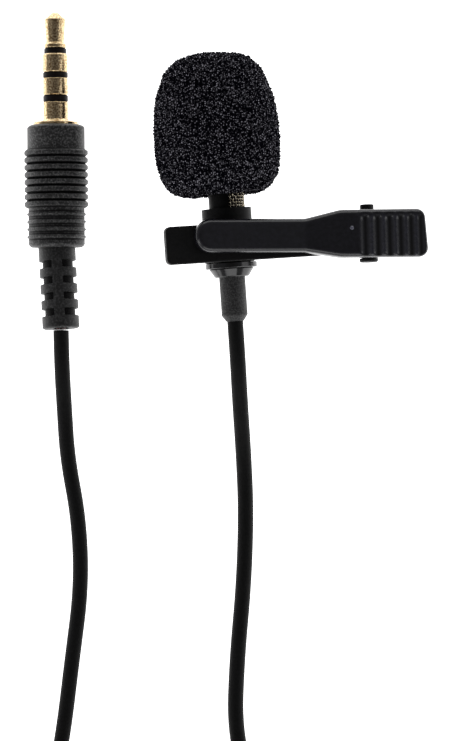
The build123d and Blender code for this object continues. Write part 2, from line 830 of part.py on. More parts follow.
def plug_wires():
    """Four cores from the end of the tail into the inner moulding."""
    top = GRIP_END - MOULD_END + 1.5
    wires = []
    for angle in (45, 135, 225, 315):
        across = PLUG_WIRE_SPACING * math.cos(math.radians(angle))
        up = PLUG_WIRE_SPACING * math.sin(math.radians(angle))
        wires.append(TAIL * Pos(across, 0, up) * along_y(PLUG_WIRE_R, -tail_length(), top))
    return wires


# ---------------------------------------------------------------------- cord


def arc_radii(route):
    """0.45 of the shorter run over the tangent of half the turn, at each corner."""
    radii = []
    for before, here, after in zip(route, route[1:], route[2:]):
        run_in = Vector(*here) - Vector(*before)
        run_out = Vector(*after) - Vector(*here)
        half_turn = math.radians(run_in.get_angle(run_out)) / 2
        radii.append(0.45 * min(run_in.length, run_out.length) / math.tan(half_turn))
    return radii


def cord_tube(name, route):
    radii = arc_radii(route)
    path = FilletPolyline(*route, radius=radii)
    section = Plane(origin=path @ 0, z_dir=path % 0) * Circle(CORD_R)
    solid = sweep(section, path=path)
    ideal = math.pi * CORD_R**2 * path.length
    print(name, "length", round(path.length, 1), "volume", round(solid.volume / ideal, 4))
    print(name, "radii", [round(radius, 1) for radius in radii])
    return solid


def coil_size():
    """Inner and outer radius of the coil and its height."""
    outer = COIL_OUTER_TURN + CORD_R
    inner = COIL_OUTER_TURN - COIL_LAYER_TURNS * 2 * CORD_R - CORD_R
    return inner, outer, COIL_LAYERS * 2 * CORD_R


def cable_coil():
    """Outer shape of the coil, with a shallow recess where the tie goes round."""
    inner, outer, height = coil_size()
    ring = Cylinder(outer, height) - Cylinder(inner, height)
    ring = fillet(ring.edges(), 0.9)
    ring = Pos(COIL_X, COIL_Y, height / 2) * ring
    return ring - tie_loop()


def tie_loop():
    """A band round one side of the coil."""
    inner, outer, height = coil_size()
    middle = -(inner + outer) / 2
    width = outer - inner
    band = Box(TIE_WIDTH, width + 2 * TIE_THICK, height + TIE_THICK)
    band -= Box(TIE_WIDTH + 1, width, height - TIE_THICK)
    return Pos(COIL_X, COIL_Y + middle, (height + TIE_THICK) / 2) * band


def cable_tie():
    inner, outer, height = coil_size()
    tail = Pos(COIL_X, COIL_Y - outer - TIE_THICK - TIE_TAIL / 2, 1.4) * Box(1.1, TIE_TAIL, 0.9)
    return tie_loop() + tail


def build():
    contacts = plug_contacts()
    mould, grip = mould_and_grip(contacts)
    wires = plug_wires()
    mould = at_plug(mould)
    for wire in wires:
        mould -= wire
    grip = at_plug(grip) - TAIL * along_y(TAIL_BORE_R, -1, GRIP_END - MOULD_END + 1) - mould
    nodes = {
        "foam_windscreen": foam_windscreen(),
        "mic_barrel": mic_barrel(),
        "side_mesh": side_mesh(),
        "top_mesh": top_mesh(),
        "capsule_boot": capsule_boot(),
        "capsule_can": capsule_can(),
        "signal_wire": core_wire(1),
        "ground_wire": core_wire(-1),
        "stop_ring": stop_ring(),
        "base_cone": base_cone(),
        "mic_strain_relief": mic_strain_relief(),
        "clip_jaw": clip_jaw(),
        "clip_lever": clip_lever(),
        "pivot_pin": pivot_pin(),
        "torsion_spring": torsion_spring(),
        "plug_inner_mould": mould,
        "plug_grip": grip,
        "plug_strain_relief": plug_strain_relief(),
        "plug_wires": Compound(children=wires),
        "mic_cable": cord_tube("mic_cable", MIC_ROUTE),
        "plug_cable": cord_tube("plug_cable", PLUG_ROUTE),
        "cable_coil": cable_coil(),
        "cable_tie": cable_tie(),
    }
    nodes.update(capsule_stack())
    for name, shape in contacts.items():
        nodes[name] = at_plug(shape)
    return nodes


os.makedirs("parts", exist_ok=True)
for node_name, node_shape in build().items():
    export_step(node_shape, f"parts/{node_name}.step")
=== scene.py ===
import math

import bmesh
import bpy
from mathutils import Matrix, Vector, noise

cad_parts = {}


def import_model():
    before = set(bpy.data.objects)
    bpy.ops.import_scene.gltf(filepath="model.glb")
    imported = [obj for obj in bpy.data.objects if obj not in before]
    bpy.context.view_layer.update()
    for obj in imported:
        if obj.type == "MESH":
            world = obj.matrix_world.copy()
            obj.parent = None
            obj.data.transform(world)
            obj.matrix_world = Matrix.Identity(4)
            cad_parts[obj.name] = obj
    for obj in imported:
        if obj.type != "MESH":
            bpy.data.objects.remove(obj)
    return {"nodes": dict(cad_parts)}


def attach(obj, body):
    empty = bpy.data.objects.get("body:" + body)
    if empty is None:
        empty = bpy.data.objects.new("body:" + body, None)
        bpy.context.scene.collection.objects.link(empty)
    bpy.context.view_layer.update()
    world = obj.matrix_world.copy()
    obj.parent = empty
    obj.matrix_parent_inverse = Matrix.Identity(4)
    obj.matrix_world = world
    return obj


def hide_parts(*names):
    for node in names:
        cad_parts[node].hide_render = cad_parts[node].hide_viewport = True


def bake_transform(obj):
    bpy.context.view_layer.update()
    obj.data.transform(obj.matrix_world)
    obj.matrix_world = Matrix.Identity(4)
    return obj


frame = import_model()

# A lavalier microphone on a white table, seen from straight above.
# Lengths in this script are millimetres unless a name or comment says metres.

MM = 0.001


def move(x, y, z):
    return Matrix.Translation((x * MM, y * MM, z * MM))


def turn(degrees, axis):
    return Matrix.Rotation(math.radians(degrees), 4, axis)


def clamped(value):
    return min(1.0, max(0.0, value))


def around(radius, angle, y):
    """The point at a radius and angle round the Y axis, at height y."""
    return Vector((radius * math.sin(angle), y, radius * math.cos(angle)))


# The same frames as the CAD part.
FOAM_R = 8.6
MIC = move(-9.0, -7.8, FOAM_R)
CLIP = MIC @ turn(12.0, "Y")
PIN = CLIP @ move(18.3, -0.1, 5.3) @ turn(-2.3, "Z") @ turn(-2.0, "X")
LEVER = CLIP @ move(18.3, -0.1, 5.3) @ turn(-3.3, "Z") @ turn(-4.0, "X") @ move(0, -0.2, 0)
GRIP_R = 4.43
GRIP_LENGTH = 32.64
PLUG_END = move(-32.98, -6.56, GRIP_R) @ turn(-3.53, "Z")
PLUG = PLUG_END @ move(0, GRIP_LENGTH, 0)
TAIL = PLUG_END @ turn(2.75, "Z") @ turn(-4.0, "X")

# ------------------------------------------------------------------ meshes


def shown(name, mesh, body, node=None, material=None):
    """Links a mesh as a piece that rides on a CAD body and stands for a CAD node."""
    piece = bpy.data.objects.new(name, mesh)
    bpy.context.scene.collection.objects.link(piece)
    if body:
        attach(piece, body)
    if node:
        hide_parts(node)
    if material:
        mesh.materials.clear()
        mesh.materials.append(material)
    return piece


def smooth(mesh, sharp_angle=35):
    mesh.polygons.foreach_set("use_smooth", [True] * len(mesh.polygons))
    mesh.set_sharp_from_angle(angle=math.radians(sharp_angle))


def grid_mesh(name, rows, close_across=True, close_along=False):
    """Faces between rows of points; each row closes on itself when close_across is set."""
    width = len(rows[0])
    points = [point for row in rows for point in row]
    faces = []
    row_count = len(rows) if close_along else len(rows) - 1
    for i in range(row_count):
        here = i * width
        there = ((i + 1) % len(rows)) * width
        for j in range(width if close_across else width - 1):
            k = (j + 1) % width
            faces.append((here + j, here + k, there + k, there + j))
    mesh = bpy.data.meshes.new(name)
    mesh.from_pydata(points, [], faces)
    mesh.validate()
    return mesh


def rounded(corners, steps=4):
    """Profile points with each (radius, y, fillet) corner rounded by an arc."""
    out = []
    for i, (r, y, fillet) in enumerate(corners):
        here = Vector((r, y))
        if fillet <= 0 or i in (0, len(corners) - 1):
            out.append(here)
            continue
        before = (Vector(corners[i - 1][:2]) - here).normalized()
        after = (Vector(corners[i + 1][:2]) - here).normalized()
        half = before.angle(after) / 2
        reach = fillet / math.tan(half)
        start, end = here + before * reach, here + after * reach
        centre = here + (before + after).normalized() * (fillet / math.sin(half))
        for step in range(steps + 1):
            spoke = start.lerp(end, step / steps) - centre
            out.append(centre + spoke.normalized() * fillet)
    return out


def lathe(name, profile, place, segments):
    """A surface of revolution about +Y of the place, from (radius, y) points."""
    rows = []
    for r, y in profile:
        row = []
        for j in range(segments):
            angle = 2 * math.pi * j / segments
            row.append(place @ (around(r, angle, y) * MM))
        rows.append(row)
    mesh = grid_mesh(name, rows)
    smooth(mesh, 50)
    return mesh


# --------------------------------------------------------------- materials


def node(tree, kind, **values):
    made = tree.nodes.new(kind)
    for key, value in values.items():
        if hasattr(made, key):
            setattr(made, key, value)
        else:
            made.inputs[key.replace("_", " ")].default_value = value
    return made


def grey(level):
    return (level, level, level)


def find(tree, kind):
    return next(made for made in tree.nodes if made.type == kind)


def surface(
    name,
    dark,
    light,
    rough,
    grain=0.15,
    bump=0.01,
    rough_spread=0.08,
    metallic=0.0,
    specular=0.5,
    contrast=(0.35, 0.65),
    mottle=2.0,
):
    """Principled surface whose colour, roughness and height follow two noises.

    grain is the size of the fine texture and mottle that of the slow one. bump is the
    height of the grain. contrast is the span of the fine noise between dark and light.
    """
    made = bpy.data.materials.new(name)
    made.use_nodes = True
    tree = made.node_tree
    tree.nodes.clear()
    out = node(tree, "ShaderNodeOutputMaterial")
    shader = node(tree, "ShaderNodeBsdfPrincipled")
    shader.inputs["Metallic"].default_value = metallic
    shader.inputs["Specular IOR Level"].default_value = specular
    place = node(tree, "ShaderNodeTexCoord")
    fine = node(tree, "ShaderNodeTexNoise", Scale=1000 / grain, Detail=3.0)
    slow = node(tree, "ShaderNodeTexNoise", Scale=1000 / mottle, Detail=2.0)
    spread = node(tree, "ShaderNodeMapRange")
    spread.inputs["From Min"].default_value = contrast[0]
    spread.inputs["From Max"].default_value = contrast[1]
    colour = node(tree, "ShaderNodeMix", data_type="RGBA")
    colour.inputs["A"].default_value = (*dark, 1)
    colour.inputs["B"].default_value = (*light, 1)
    roughness = node(tree, "ShaderNodeMapRange")
    roughness.inputs["To Min"].default_value = max(0.02, rough - rough_spread)
    roughness.inputs["To Max"].default_value = min(1.0, rough + rough_spread)
    height = node(tree, "ShaderNodeBump")
    height.inputs["Strength"].default_value = 1.0
    height.inputs["Distance"].default_value = bump * MM
    links = tree.links
    for texture in (fine, slow):
        links.new(place.outputs["Object"], texture.inputs["Vector"])
    links.new(fine.outputs["Fac"], spread.inputs["Value"])
    links.new(spread.outputs["Result"], colour.inputs["Factor"])
    links.new(colour.outputs["Result"], shader.inputs["Base Color"])
    links.new(slow.outputs["Fac"], roughness.inputs["Value"])
    links.new(roughness.outputs["Result"], shader.inputs["Roughness"])
    links.new(fine.outputs["Fac"], height.inputs["Height"])
    links.new(height.outputs["Normal"], shader.inputs["Normal"])
    links.new(shader.outputs["BSDF"], out.inputs["Surface"])
    return made


# Size of the painted glints on the foam's struts.
GLINT_SPECK = 0.25


def foam_material():
    """Open-cell foam: painted shade in the pits and painted glints on the strut ends, each of its own
    brightness.
    """
    made = surface(
        "foam", (0.001, 0.001, 0.002), (0.02, 0.02, 0.025), 0.8, grain=0.12, bump=0.05, rough_spread=0.15
    )
    tree = made.node_tree
    links = tree.links
    shader = find(tree, "BSDF_PRINCIPLED")
    place = find(tree, "TEX_COORD")
    depth = node(tree, "ShaderNodeAttribute", attribute_name="relief")
    cells = node(tree, "ShaderNodeTexVoronoi", Scale=1000 / GLINT_SPECK)
    dot = node(tree, "ShaderNodeMapRange")
    dot.inputs["From Min"].default_value = 0.48
    dot.inputs["From Max"].default_value = 0.1
    level = node(tree, "ShaderNodeSeparateColor")
    own = node(tree, "ShaderNodeMath", operation="POWER")
    own.inputs[1].default_value = 1.25
    lit = node(tree, "ShaderNodeMath", operation="MULTIPLY")
    painted_glint_and_pit_shade = node(tree, "ShaderNodeMath", operation="MULTIPLY")
    ramp = node(tree, "ShaderNodeValToRGB")
    ramp.color_ramp.elements[0].position = 0.02
    ramp.color_ramp.elements[0].color = (0.0015, 0.0015, 0.003, 1)
    ramp.color_ramp.elements[1].position = 0.7
    ramp.color_ramp.elements[1].color = (0.42, 0.41, 0.47, 1)
    links.new(place.outputs["Object"], cells.inputs["Vector"])
    links.new(cells.outputs["Distance"], dot.inputs["Value"])
    links.new(cells.outputs["Color"], level.inputs["Color"])
    links.new(level.outputs["Red"], own.inputs[0])
    links.new(dot.outputs["Result"], lit.inputs[0])
    links.new(own.outputs["Value"], lit.inputs[1])
    # Painted glints on the strut ends, and painted shade in the pits through the relief.
    links.new(lit.outputs["Value"], painted_glint_and_pit_shade.inputs[0])
    links.new(depth.outputs["Fac"], painted_glint_and_pit_shade.inputs[1])
    links.new(painted_glint_and_pit_shade.outputs["Value"], ramp.inputs["Fac"])
    links.new(ramp.outputs["Color"], shader.inputs["Base Color"])
    links.new(lit.outputs["Value"], shader.inputs["Specular IOR Level"])
    return made


def clip_plastic(name):
    dark, light = (0.004, 0.004, 0.0055), (0.008, 0.008, 0.011)
    return surface(name, dark, light, 0.25, grain=0.5, bump=0.002, mottle=5.0)


def ribbed_plastic():
    """The clip's plastic, lighter on the rib crests as a painted highlight and darker in their grooves as
    painted shade.
    """
    made = clip_plastic("lever_plastic")
    tree = made.node_tree
    shader = find(tree, "BSDF_PRINCIPLED")
    colour = shader.inputs["Base Color"].links[0].from_node
    # Painted highlight and painted shade: the colour is scaled by a value stored on each point of the
    # lever.
    painted_light_and_shade = node(tree, "ShaderNodeAttribute", attribute_name="painted_light_and_shade")
    scaled = node(tree, "ShaderNodeVectorMath", operation="SCALE")
    tree.links.new(colour.outputs["Result"], scaled.inputs["Vector"])
    tree.links.new(painted_light_and_shade.outputs["Fac"], scaled.inputs["Scale"])
    tree.links.new(scaled.outputs["Vector"], shader.inputs["Base Color"])
    return made


def moulded_rubber(name, dark, light, rough, bump):
    """Grained rubber with painted shade in its grooves, from the relief stored on each point."""
    made = surface(name, dark, light, rough, grain=0.27, bump=bump, contrast=(0.47, 0.66))
    tree = made.node_tree
    shader = find(tree, "BSDF_PRINCIPLED")
    colour = shader.inputs["Base Color"].links[0].from_node
    depth = node(tree, "ShaderNodeAttribute", attribute_name="relief")
    # Painted shade: towards black and with weaker reflections where the relief falls into a groove.
    shade = node(tree, "ShaderNodeMix", data_type="RGBA")
    shade.inputs["A"].default_value = (*grey(0.0022), 1)
    gloss = node(tree, "ShaderNodeMapRange")
    gloss.inputs["To Min"].default_value = 0.08
    gloss.inputs["To Max"].default_value = 0.42
    tree.links.new(depth.outputs["Fac"], shade.inputs["Factor"])
    tree.links.new(colour.outputs["Result"], shade.inputs["B"])
    tree.links.new(shade.outputs["Result"], shader.inputs["Base Color"])
    tree.links.new(depth.outputs["Fac"], gloss.inputs["Value"])
    tree.links.new(gloss.outputs["Result"], shader.inputs["Specular IOR Level"])
    return made


FOAM = foam_material()
BLACK_METAL = surface("black_metal", grey(0.003), grey(0.006), 0.16, grain=0.3, bump=0.002)
BARREL_METAL = surface("barrel_metal", grey(0.001), grey(0.003), 0.5, grain=0.2, bump=0.004, specular=0.1)
# A dark lining put behind the mesh window, painted shade for the inside of the barrel.
PAINTED_SHADE_LINING = surface("painted_shade_lining", grey(0.001), (0.006, 0.005, 0.004), 0.8, specular=0.1)
MESH_WIRE = surface(
    "mesh_wire", (0.4, 0.33, 0.2), (1.0, 0.93, 0.78), 0.22, grain=0.1, bump=0.002, metallic=1.0
)
RUBBER = surface("rubber", grey(0.003), grey(0.04), 0.6, grain=0.22, bump=0.05, contrast=(0.42, 0.64))
CLIP_PLASTIC = clip_plastic("clip_plastic")
LEVER_PLASTIC = ribbed_plastic()
JAW_PLASTIC = surface("jaw_plastic", grey(0.0045), grey(0.0075), 0.5, grain=0.3, bump=0.003, specular=0.1)
PIN_METAL = surface("pin_metal", grey(0.003), grey(0.007), 0.5, grain=0.1, bump=0.004, specular=0.12)
SPRING_STEEL = surface(
    "spring_steel", grey(0.12), (0.25, 0.25, 0.26), 0.35, grain=0.1, bump=0.003, metallic=1.0
)
PLATED = surface(
    "plated",
    (0.27, 0.155, 0.05),
    (0.92, 0.74, 0.46),
    0.13,
    grain=0.22,
    bump=0.04,
    metallic=1.0,
    contrast=(0.3, 0.7),
)
INSULATOR = surface(
    "insulator", (0.003, 0.002, 0.002), (0.009, 0.006, 0.005), 0.4, grain=0.1, bump=0.003, specular=0.12
)
GRIP_RUBBER = moulded_rubber("grip_rubber", grey(0.002), grey(0.072), 0.48, 0.07)
TAIL_RUBBER = moulded_rubber("tail_rubber", grey(0.003), grey(0.03), 0.5, 0.03)
CORD_JACKET = surface("cord_jacket", grey(0.002), grey(0.005), 0.6, grain=0.3, specular=0.11)
WIRE_JACKET = surface("wire_jacket", (0.16, 0.012, 0.01), (0.22, 0.02, 0.015), 0.4, grain=0.2, bump=0.004)
CAPSULE_METAL = surface(
    "capsule_metal", (0.6, 0.6, 0.62), (0.8, 0.8, 0.82), 0.3, grain=0.1, bump=0.003, metallic=1.0
)
FILM = surface("film", (0.6, 0.6, 0.58), (0.75, 0.75, 0.72), 0.2, grain=0.2, bump=0.001, metallic=1.0)
BOARD = surface("board", (0.02, 0.12, 0.05), (0.04, 0.2, 0.09), 0.4, grain=0.3, bump=0.004)
TIE = surface("tie", grey(0.006), grey(0.014), 0.45, grain=0.2)

NODE_MATERIALS = {
    "mic_barrel": BARREL_METAL,
    "side_mesh": MESH_WIRE,
    "top_mesh": MESH_WIRE,
    "capsule_boot": RUBBER,
    "capsule_can": CAPSULE_METAL,
    "diaphragm": FILM,
    "backplate": CAPSULE_METAL,
    "backplate_holder": INSULATOR,
    "capsule_board": BOARD,
    "signal_wire": WIRE_JACKET,
    "ground_wire": WIRE_JACKET,
    "stop_ring": BLACK_METAL,
    "base_cone": BLACK_METAL,
    "mic_strain_relief": RUBBER,
    "clip_jaw": JAW_PLASTIC,
    "clip_lever": CLIP_PLASTIC,
    "pivot_pin": PIN_METAL,
    "torsion_spring": SPRING_STEEL,
    "plug_tip": PLATED,
    "plug_ring_1": PLATED,
    "plug_ring_2": PLATED,
    "plug_sleeve": PLATED,
    "tip_insulator": INSULATOR,
    "ring_insulator": INSULATOR,
    "sleeve_insulator": INSULATOR,
    "plug_inner_mould": INSULATOR,
    "plug_grip": GRIP_RUBBER,
    "plug_strain_relief": TAIL_RUBBER,
    "plug_wires": WIRE_JACKET,
    "foam_windscreen": FOAM,
    "mic_cable": CORD_JACKET,
    "plug_cable": CORD_JACKET,
    "cable_coil": CORD_JACKET,
    "cable_tie": TIE,
}


def dress_nodes():
    """Gives every CAD node the material of its piece."""
    for name, piece in frame["nodes"].items():
        piece.data.materials.clear()
        piece.data.materials.append(NODE_MATERIALS[name])


# ------------------------------------------------------------ camera, light

CAMERA_HEIGHT_M = 0.5
CAMERA_OVER_M = (-0.010593, -0.025252)
CAMERA_ROLL = -4.0
SENSOR_MM = 36
VIEW_HEIGHT = 102.92
TABLE_HALF_M = 4
TABLE_DROP_M = 0.0002
TABLE_GLOW = 1.6


def camera():
    """Straight above the table, turned a little so that the microphone leans left."""
    data = bpy.data.cameras.new("camera")
    made = bpy.data.objects.new("camera", data)
    bpy.context.scene.collection.objects.link(made)
    made.location = (*CAMERA_OVER_M, CAMERA_HEIGHT_M)
    made.rotation_euler = (0, 0, math.radians(CAMERA_ROLL))
    data.sensor_width = SENSOR_MM
    data.lens = SENSOR_MM * (CAMERA_HEIGHT_M - GRIP_R * MM) / (VIEW_HEIGHT * MM)
    data.clip_start, data.clip_end = 0.01, 20
    bpy.context.scene.camera = made


def area_light(name, place, target, size, watts):
    """A soft box at a place, turned to its target; place, target and size in metres."""
    data = bpy.data.lights.new(name, "AREA")
    data.shape = "RECTANGLE"
    data.size, data.size_y = size
    data.energy = watts
    made = bpy.data.objects.new(name, data)
    bpy.context.scene.collection.objects.link(made)
    made.location = place
    made.rotation_euler = (Vector(target) - Vector(place)).to_track_quat("-Z", "Y").to_euler()


def floor():
    """A white table top that glows a little, as a light table does."""
    ends = (-TABLE_HALF_M, TABLE_HALF_M)
    rows = [[Vector((x, y, -TABLE_DROP_M)) for x in ends] for y in ends]
    mesh = grid_mesh("table", rows, close_across=False)
    piece = shown("table", mesh, None)
    made = surface("table", grey(0.78), grey(0.84), 0.7, grain=4.0, bump=0.001, mottle=40)
    shader = find(made.node_tree, "BSDF_PRINCIPLED")
    shader.inputs["Emission Color"].default_value = (1, 1, 1, 1)
    shader.inputs["Emission Strength"].default_value = TABLE_GLOW
    mesh.materials.append(made)


def world():
    """Soft room light: dim all over, and dimmest overhead."""
    made = bpy.data.worlds.new("room")
    made.use_nodes = True
    tree = made.node_tree
    tree.nodes.clear()
    place = node(tree, "ShaderNodeTexCoord")
    split = node(tree, "ShaderNodeSeparateXYZ")
    ramp = node(tree, "ShaderNodeValToRGB")
    ramp.color_ramp.elements[0].position = 0.0
    ramp.color_ramp.elements[0].color = (0.34, 0.34, 0.35, 1)
    ramp.color_ramp.elements[1].position = 0.86
    ramp.color_ramp.elements[1].color = (0.19, 0.188, 0.2, 1)
    top = ramp.color_ramp.elements.new(0.985)
    top.color = (0.1, 0.096, 0.095, 1)
    back = node(tree, "ShaderNodeBackground", Strength=1.0)
    out = node(tree, "ShaderNodeOutputWorld")
    tree.links.new(place.outputs["Generated"], split.inputs["Vector"])
    tree.links.new(split.outputs["Z"], ramp.inputs["Fac"])
    tree.links.new(ramp.outputs["Color"], back.inputs["Color"])
    tree.links.new(back.outputs["Background"], out.inputs["Surface"])
    bpy.context.scene.world = made


def studio():
    bpy.context.scene.view_settings.view_transform = "Standard"
    camera()
    world()
    floor()
    target = (-0.01, -0.02, 0.0)
    area_light("left_softbox", (-0.8, -0.35, 0.5), target, (0.35, 0.6), 1.6)
    area_light("right_softbox", (0.8, -0.1, 0.35), target, (0.25, 0.6), 0.9)
    area_light("far_softbox", (0.1, 0.85, 0.42), target, (0.7, 0.4), 2.2)
    area_light("near_softbox", (-0.05, -0.8, 0.5), target, (0.8, 0.5), 2.6)


# --------------------------------------------------------------------- cord

CORD_D = 0.0022

# Centre of the cord from the microphone to the coil, in metres.
MIC_ROUTE = [
    (-0.0090, -0.01857, 0.0086),
    (-0.0090, -0.0235, 0.0086),
    (-0.0091, -0.0300, 0.0056),
    (-0.0091, -0.0370, 0.0020),
    (-0.0093, -0.0450, 0.0011),
    (-0.0103, -0.0550, 0.0011),
    (-0.0120, -0.0655, 0.0011),
    (-0.0131, -0.0760, 0.0011),
    (-0.0110, -0.0860, 0.0011),
    (-0.0080, -0.0930, 0.0011),
]

# Centre of the cord from the coil to the tail of the plug, in metres.
PLUG_ROUTE = [
    (-0.0412, -0.0945, 0.0077),
    (-0.0412, -0.0885, 0.0068),
    (-0.0388, -0.0815, 0.0034),
    (-0.0369, -0.0740, 0.0013),
    (-0.0350, -0.0640, 0.0011),
    (-0.0330, -0.0540, 0.0011),
    (-0.0327, -0.0445, 0.0011),
    (-0.0337, -0.0360, 0.0011),
    (-0.0336, -0.0290, 0.0022),
    (-0.0334, -0.0225, 0.0049),
    (-0.03316, -0.0181, 0.00524),
]

# The coil, in metres.
COIL_CENTRE = (-0.0246, -0.0985)
COIL_OUTER = 0.0166
LAYERS = 4
TURNS_PER_LAYER = 4
POINTS_PER_TURN = 16
CLIMB_TURNS = 0.5
TIE_LIFT = 0.0005
TIE_LIFT_REACH = 50


def coil_at(turns):
    """Radius and height of the cord after so many turns: spirals in and out, a layer
    at a time, with half a turn between layers in which it climbs by one diameter."""
    lap = TURNS_PER_LAYER + CLIMB_TURNS
    layer = min(int(turns / lap), LAYERS - 1)
    within = turns - layer * lap
    across = min(within / TURNS_PER_LAYER, 1.0)
    if layer % 2 == 1:
        across = 1.0 - across
    climb = max(0.0, within - TURNS_PER_LAYER) / CLIMB_TURNS
    radius = COIL_OUTER - across * TURNS_PER_LAYER * CORD_D
    height = CORD_D * (0.5 + layer + min(climb, 1.0))
    return radius, height


def coil_points():
    """Control points of the coil, wound clockwise from its right side to its left.

    The cord is lifted a little where the tie passes under it, within some degrees of it.
    """
    total = LAYERS * TURNS_PER_LAYER + (LAYERS - 1) * CLIMB_TURNS
    count = int(total * POINTS_PER_TURN)
    spread = 1 / math.cos(math.pi / POINTS_PER_TURN)
    points = []
    for step in range(count):
        turns = (step + 0.5) / POINTS_PER_TURN
        radius, height = coil_at(turns)
        angle = -2 * math.pi * turns
        from_tie = math.degrees(math.acos(max(-1, min(1, -math.sin(angle)))))
        lift = TIE_LIFT * max(0.0, 1 - from_tie / TIE_LIFT_REACH)
        points.append((
            COIL_CENTRE[0] + radius * spread * math.cos(angle),
            COIL_CENTRE[1] + radius * spread * math.sin(angle),
            height + lift,
        ))
    return points


def cord():
    """The whole cord as one curve, from the microphone through the coil to the plug."""
    points = MIC_ROUTE + coil_points() + PLUG_ROUTE
    data = bpy.data.curves.new("cord", "CURVE")
    data.dimensions = "3D"
    spline = data.splines.new("NURBS")
    spline.points.add(len(points) - 1)
    for control, place in zip(spline.points, points):
        control.co = (*place, 1.0)
    spline.order_u = 3
    spline.use_endpoint_u = True
    spline.resolution_u = 8
    data.bevel_depth = CORD_D / 2
    data.bevel_resolution = 6
    data.use_fill_caps = True
    data.materials.append(CORD_JACKET)
    piece = bpy.data.objects.new("cord", data)
    bpy.context.scene.collection.objects.link(piece)
    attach(piece, "microphone")
    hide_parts("mic_cable", "plug_cable", "cable_coil")
    return piece


# --------------------------------------------------------------- windscreen

# Half-width of the foam and how far below its top.
FOAM_PROFILE = [
    (0.0, 0.0),
    (1.2, 0.03),
    (2.3, 0.12),
    (3.6, 0.36),
    (4.8, 0.75),
    (5.6, 1.35),
    (6.35, 2.1),
    (6.8, 2.8),
    (7.15, 3.5),
    (7.65, 4.9),
    (8.1, 6.3),
    (8.42, 8.4),
    (8.58, 11.0),
    (8.6, 12.5),
    (8.5, 14.0),
    (8.35, 15.3),
    (8.08, 16.7),
    (7.85, 17.3),
    (7.5, 17.9),
    (7.05, 18.45),
    (6.2, 19.05),
    (5.0, 19.4),
    (3.8, 19.45),
    (2.9, 19.2),
    (2.62, 18.7),
]
FOAM_TOP = 26.25
FOAM_OFFSET = -0.75
FOAM_STEP = 0.13
FOAM_SEGMENTS = 420
CELLS_PER_MM = 2.6
CELL_DEPTH = 0.36
LUMP_DEPTH = 0.1
FOAM_CLEAR_M = 0.00002
BORE_DEPTH = 12.0
BORE_REACH = 2.8


def resampled(points, step):
    """The same line with points about a step apart, smoothed by a Catmull-Rom curve."""
    line = [Vector(p) for p in points]
    out = []
    for i in range(len(line) - 1):
        a = line[max(i - 1, 0)]
        b, c = line[i], line[i + 1]
        d = line[min(i + 2, len(line) - 1)]
        count = max(1, round((c - b).length / step))
        for k in range(count):
            t = k / count
            out.append(0.5 * (
                2 * b
                + (c - a) * t
                + (2 * a - 5 * b + 4 * c - d) * t**2
                + (3 * b - a - 3 * c + d) * t**3
            ))
    return out + [line[-1]]


def cell(at):
    """Height of the foam's cells at a point, from 0 in a pit to 1 on a strut."""
    near = noise.voronoi(at * CELLS_PER_MM, distance_metric="DISTANCE")[0]
    edge = (near[1] - near[0]) * 1.4
    return clamped(1.0 - edge + 0.25 * noise.noise(at * 6.0))


def foam():
    """Foam barrel, broken into open cells and set off to one side of its bore."""
    profile = [(max(0.02, p.x), FOAM_TOP - p.y) for p in resampled(FOAM_PROFILE, FOAM_STEP)]
    mesh = lathe("foam", profile, MIC, FOAM_SEGMENTS)
    bm = bmesh.new()
    bm.from_mesh(mesh)
    bm.normal_update()
    relief = bm.verts.layers.float.new("relief")
    bore = Vector((MIC.translation.x, MIC.translation.z))
    for vertex in bm.verts:
        at = vertex.co / MM
        strut = cell(at)
        lump = noise.noise(at * 0.35 + Vector((1, 2, 7)))
        from_bore = (Vector((vertex.co.x, vertex.co.z)) - bore).length / MM
        open_end = vertex.co.y < MIC.translation.y + BORE_DEPTH * MM
        aside = clamped((from_bore - BORE_REACH) / 3.0) if open_end else 1.0
        # The relief darkens the pits in the foam's material, as painted shade.
        vertex[relief] = min(1.0, 0.45 + 0.6 * strut)
        vertex.co += vertex.normal * MM * (CELL_DEPTH * (strut - 0.7) + LUMP_DEPTH * lump)
        vertex.co.x += FOAM_OFFSET * MM * aside
        vertex.co.z = max(vertex.co.z, FOAM_CLEAR_M)
    bm.to_mesh(mesh)
    bm.free()
    piece = shown("foam", mesh, "windscreen", "foam_windscreen", FOAM)


# --------------------------------------------------------------- wire mesh

WIRE_R = 0.06
WEAVE_R = 2.36
WEAVE_PITCH = 0.42
WEAVE_CRIMP = WIRE_R * 0.9
BACK_R = 2.23
BACK_STEPS = 40
WINDOW_LOW = 4.05
WINDOW_HIGH = 17.15
WINDOW_FROM = 6.5
WINDOW_TO = 173.5


def wire(bm, points, radius, sides=5):
    """A thin tube through the points, added to the bmesh."""
    rings = []
    for i, here in enumerate(points):
        ahead = (points[min(i + 1, len(points) - 1)] - points[max(i - 1, 0)]).normalized()
        side = ahead.orthogonal().normalized()
        if abs(ahead.y) < 0.9:
            side = ahead.cross(Vector((0, 1, 0))).normalized()
        up = ahead.cross(side)
        ring = []
        for k in range(sides):
            angle = 2 * math.pi * k / sides
            ring.append(bm.verts.new(here + (side * math.cos(angle) + up * math.sin(angle)) * radius))
        rings.append(ring)
    for low, high in zip(rings, rings[1:]):
        for k in range(sides):
            bm.faces.new((low[k], low[(k + 1) % sides], high[(k + 1) % sides], high[k]))
    bm.faces.new(list(reversed(rings[0])))
    bm.faces.new(rings[-1])


